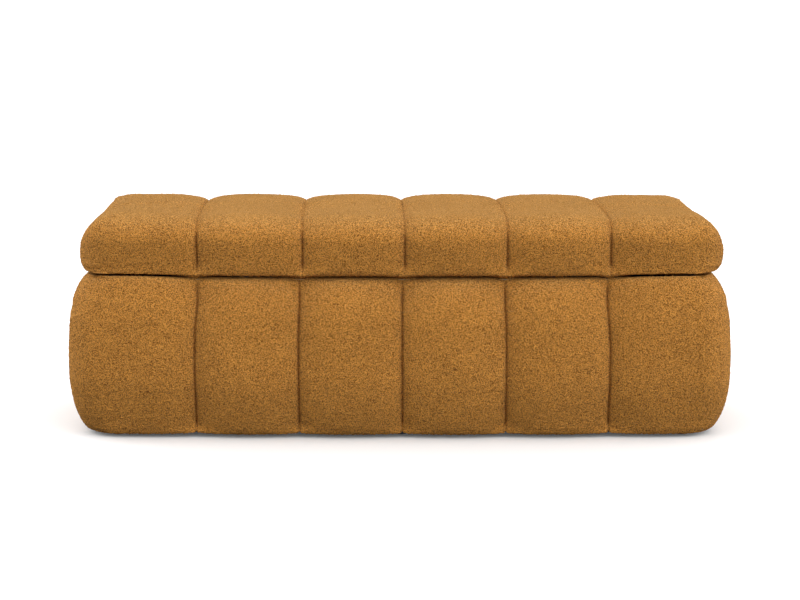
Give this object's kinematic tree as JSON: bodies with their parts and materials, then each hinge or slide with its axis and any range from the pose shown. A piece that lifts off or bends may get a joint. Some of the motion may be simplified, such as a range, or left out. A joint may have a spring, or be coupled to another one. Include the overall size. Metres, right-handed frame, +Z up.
{
  "type": "storage ottoman",
  "caption": "Long upholstered storage ottoman: channelled barrel-sided base, padded lid on rear hinges with gas struts, lined well.",
  "frame": {"origin": "on the floor, below the centre of the ottoman's bounding box", "axes": "+X along the width, from the left end to the right end seen from the front; -Y is the front; +Z up"},
  "size_m": [1.4, 0.5, 0.47],
  "materials": {
    "boucle": "matte",
    "foam": "matte",
    "board": "satin",
    "batten": "matte",
    "lining": "matte",
    "underside": "matte",
    "zinc_steel": "satin",
    "strut_black": "satin",
    "strut_rod": "polished",
    "strut_socket": "satin",
    "glide_plastic": "matte",
    "rubber": "matte"
  },
  "bodies": {
    "base": {"front_board": "board", "back_board": "board", "left_board": "board", "right_board": "board", "bottom_board": "board", "corner_block_front_left": "batten", "corner_block_front_right": "batten", "corner_block_back_left": "batten", "corner_block_back_right": "batten", "cleat_front": "batten", "cleat_back": "batten", "cross_batten_left": "batten", "cross_batten_middle": "batten", "cross_batten_right": "batten", "front_foam": "foam", "back_foam": "foam", "left_foam": "foam", "right_foam": "foam", "base_cover": "boucle", "base_lining": "lining", "dust_cover": "underside", "glide_front_left": "glide_plastic", "glide_front_middle": "glide_plastic", "glide_front_right": "glide_plastic", "glide_back_left": "glide_plastic", "glide_back_middle": "glide_plastic", "glide_back_right": "glide_plastic", "bumper_front_left": "rubber", "bumper_front_right": "rubber", "bumper_end_left": "rubber", "bumper_end_right": "rubber", "hinge_leaf_base_left": "zinc_steel", "hinge_leaf_base_middle": "zinc_steel", "hinge_leaf_base_right": "zinc_steel", "hinge_pin_left": "zinc_steel", "hinge_pin_middle": "zinc_steel", "hinge_pin_right": "zinc_steel", "strut_bracket_base_left": "zinc_steel", "strut_bracket_base_right": "zinc_steel"},
    "lid": {"lid_board": "board", "lid_foam": "foam", "lid_cover": "boucle", "lid_lining": "lining", "hinge_leaf_lid_left": "zinc_steel", "hinge_leaf_lid_middle": "zinc_steel", "hinge_leaf_lid_right": "zinc_steel", "strut_bracket_lid_left": "zinc_steel", "strut_bracket_lid_right": "zinc_steel"},
    "left_strut_tube": {"strut_cylinder_left": "strut_black", "strut_foot_socket_left": "strut_socket"},
    "left_strut_rod": {"strut_rod_left": "strut_rod", "strut_head_socket_left": "strut_socket"},
    "right_strut_tube": {"strut_cylinder_right": "strut_black", "strut_foot_socket_right": "strut_socket"},
    "right_strut_rod": {"strut_rod_right": "strut_rod", "strut_head_socket_right": "strut_socket"}
  },
  "joints": [
    {"name": "lid_hinge", "type": "hinge", "parent": "base", "child": "lid", "pos_m": [0, 0.2455, 0.3435], "axis": [-1, 0, 0], "range_deg": [0, 80]},
    {"name": "left_strut_tilt", "type": "hinge", "parent": "base", "child": "left_strut_tube", "pos_m": [-0.603, 0.166, 0.175], "axis": [-1, 0, 0], "range_deg": [0, 3.3]},
    {"name": "left_strut_extend", "type": "slide", "parent": "left_strut_tube", "child": "left_strut_rod", "axis": [0, 0.15, 0.9887], "range_m": [0, 0.0793]},
    {"name": "right_strut_tilt", "type": "hinge", "parent": "base", "child": "right_strut_tube", "pos_m": [0.603, 0.166, 0.175], "axis": [-1, 0, 0], "range_deg": [0, 3.3]},
    {"name": "right_strut_extend", "type": "slide", "parent": "right_strut_tube", "child": "right_strut_rod", "axis": [0, 0.15, 0.9887], "range_m": [0, 0.0793]}
  ],
  "couplings": [
    {"joint": "left_strut_tilt", "follows": "lid_hinge", "ratio": 0.040258},
    {"joint": "left_strut_extend", "follows": "lid_hinge", "m_per_rad": 0.056721},
    {"joint": "right_strut_tilt", "follows": "lid_hinge", "ratio": 0.040258},
    {"joint": "right_strut_extend", "follows": "lid_hinge", "m_per_rad": 0.056721}
  ]
}
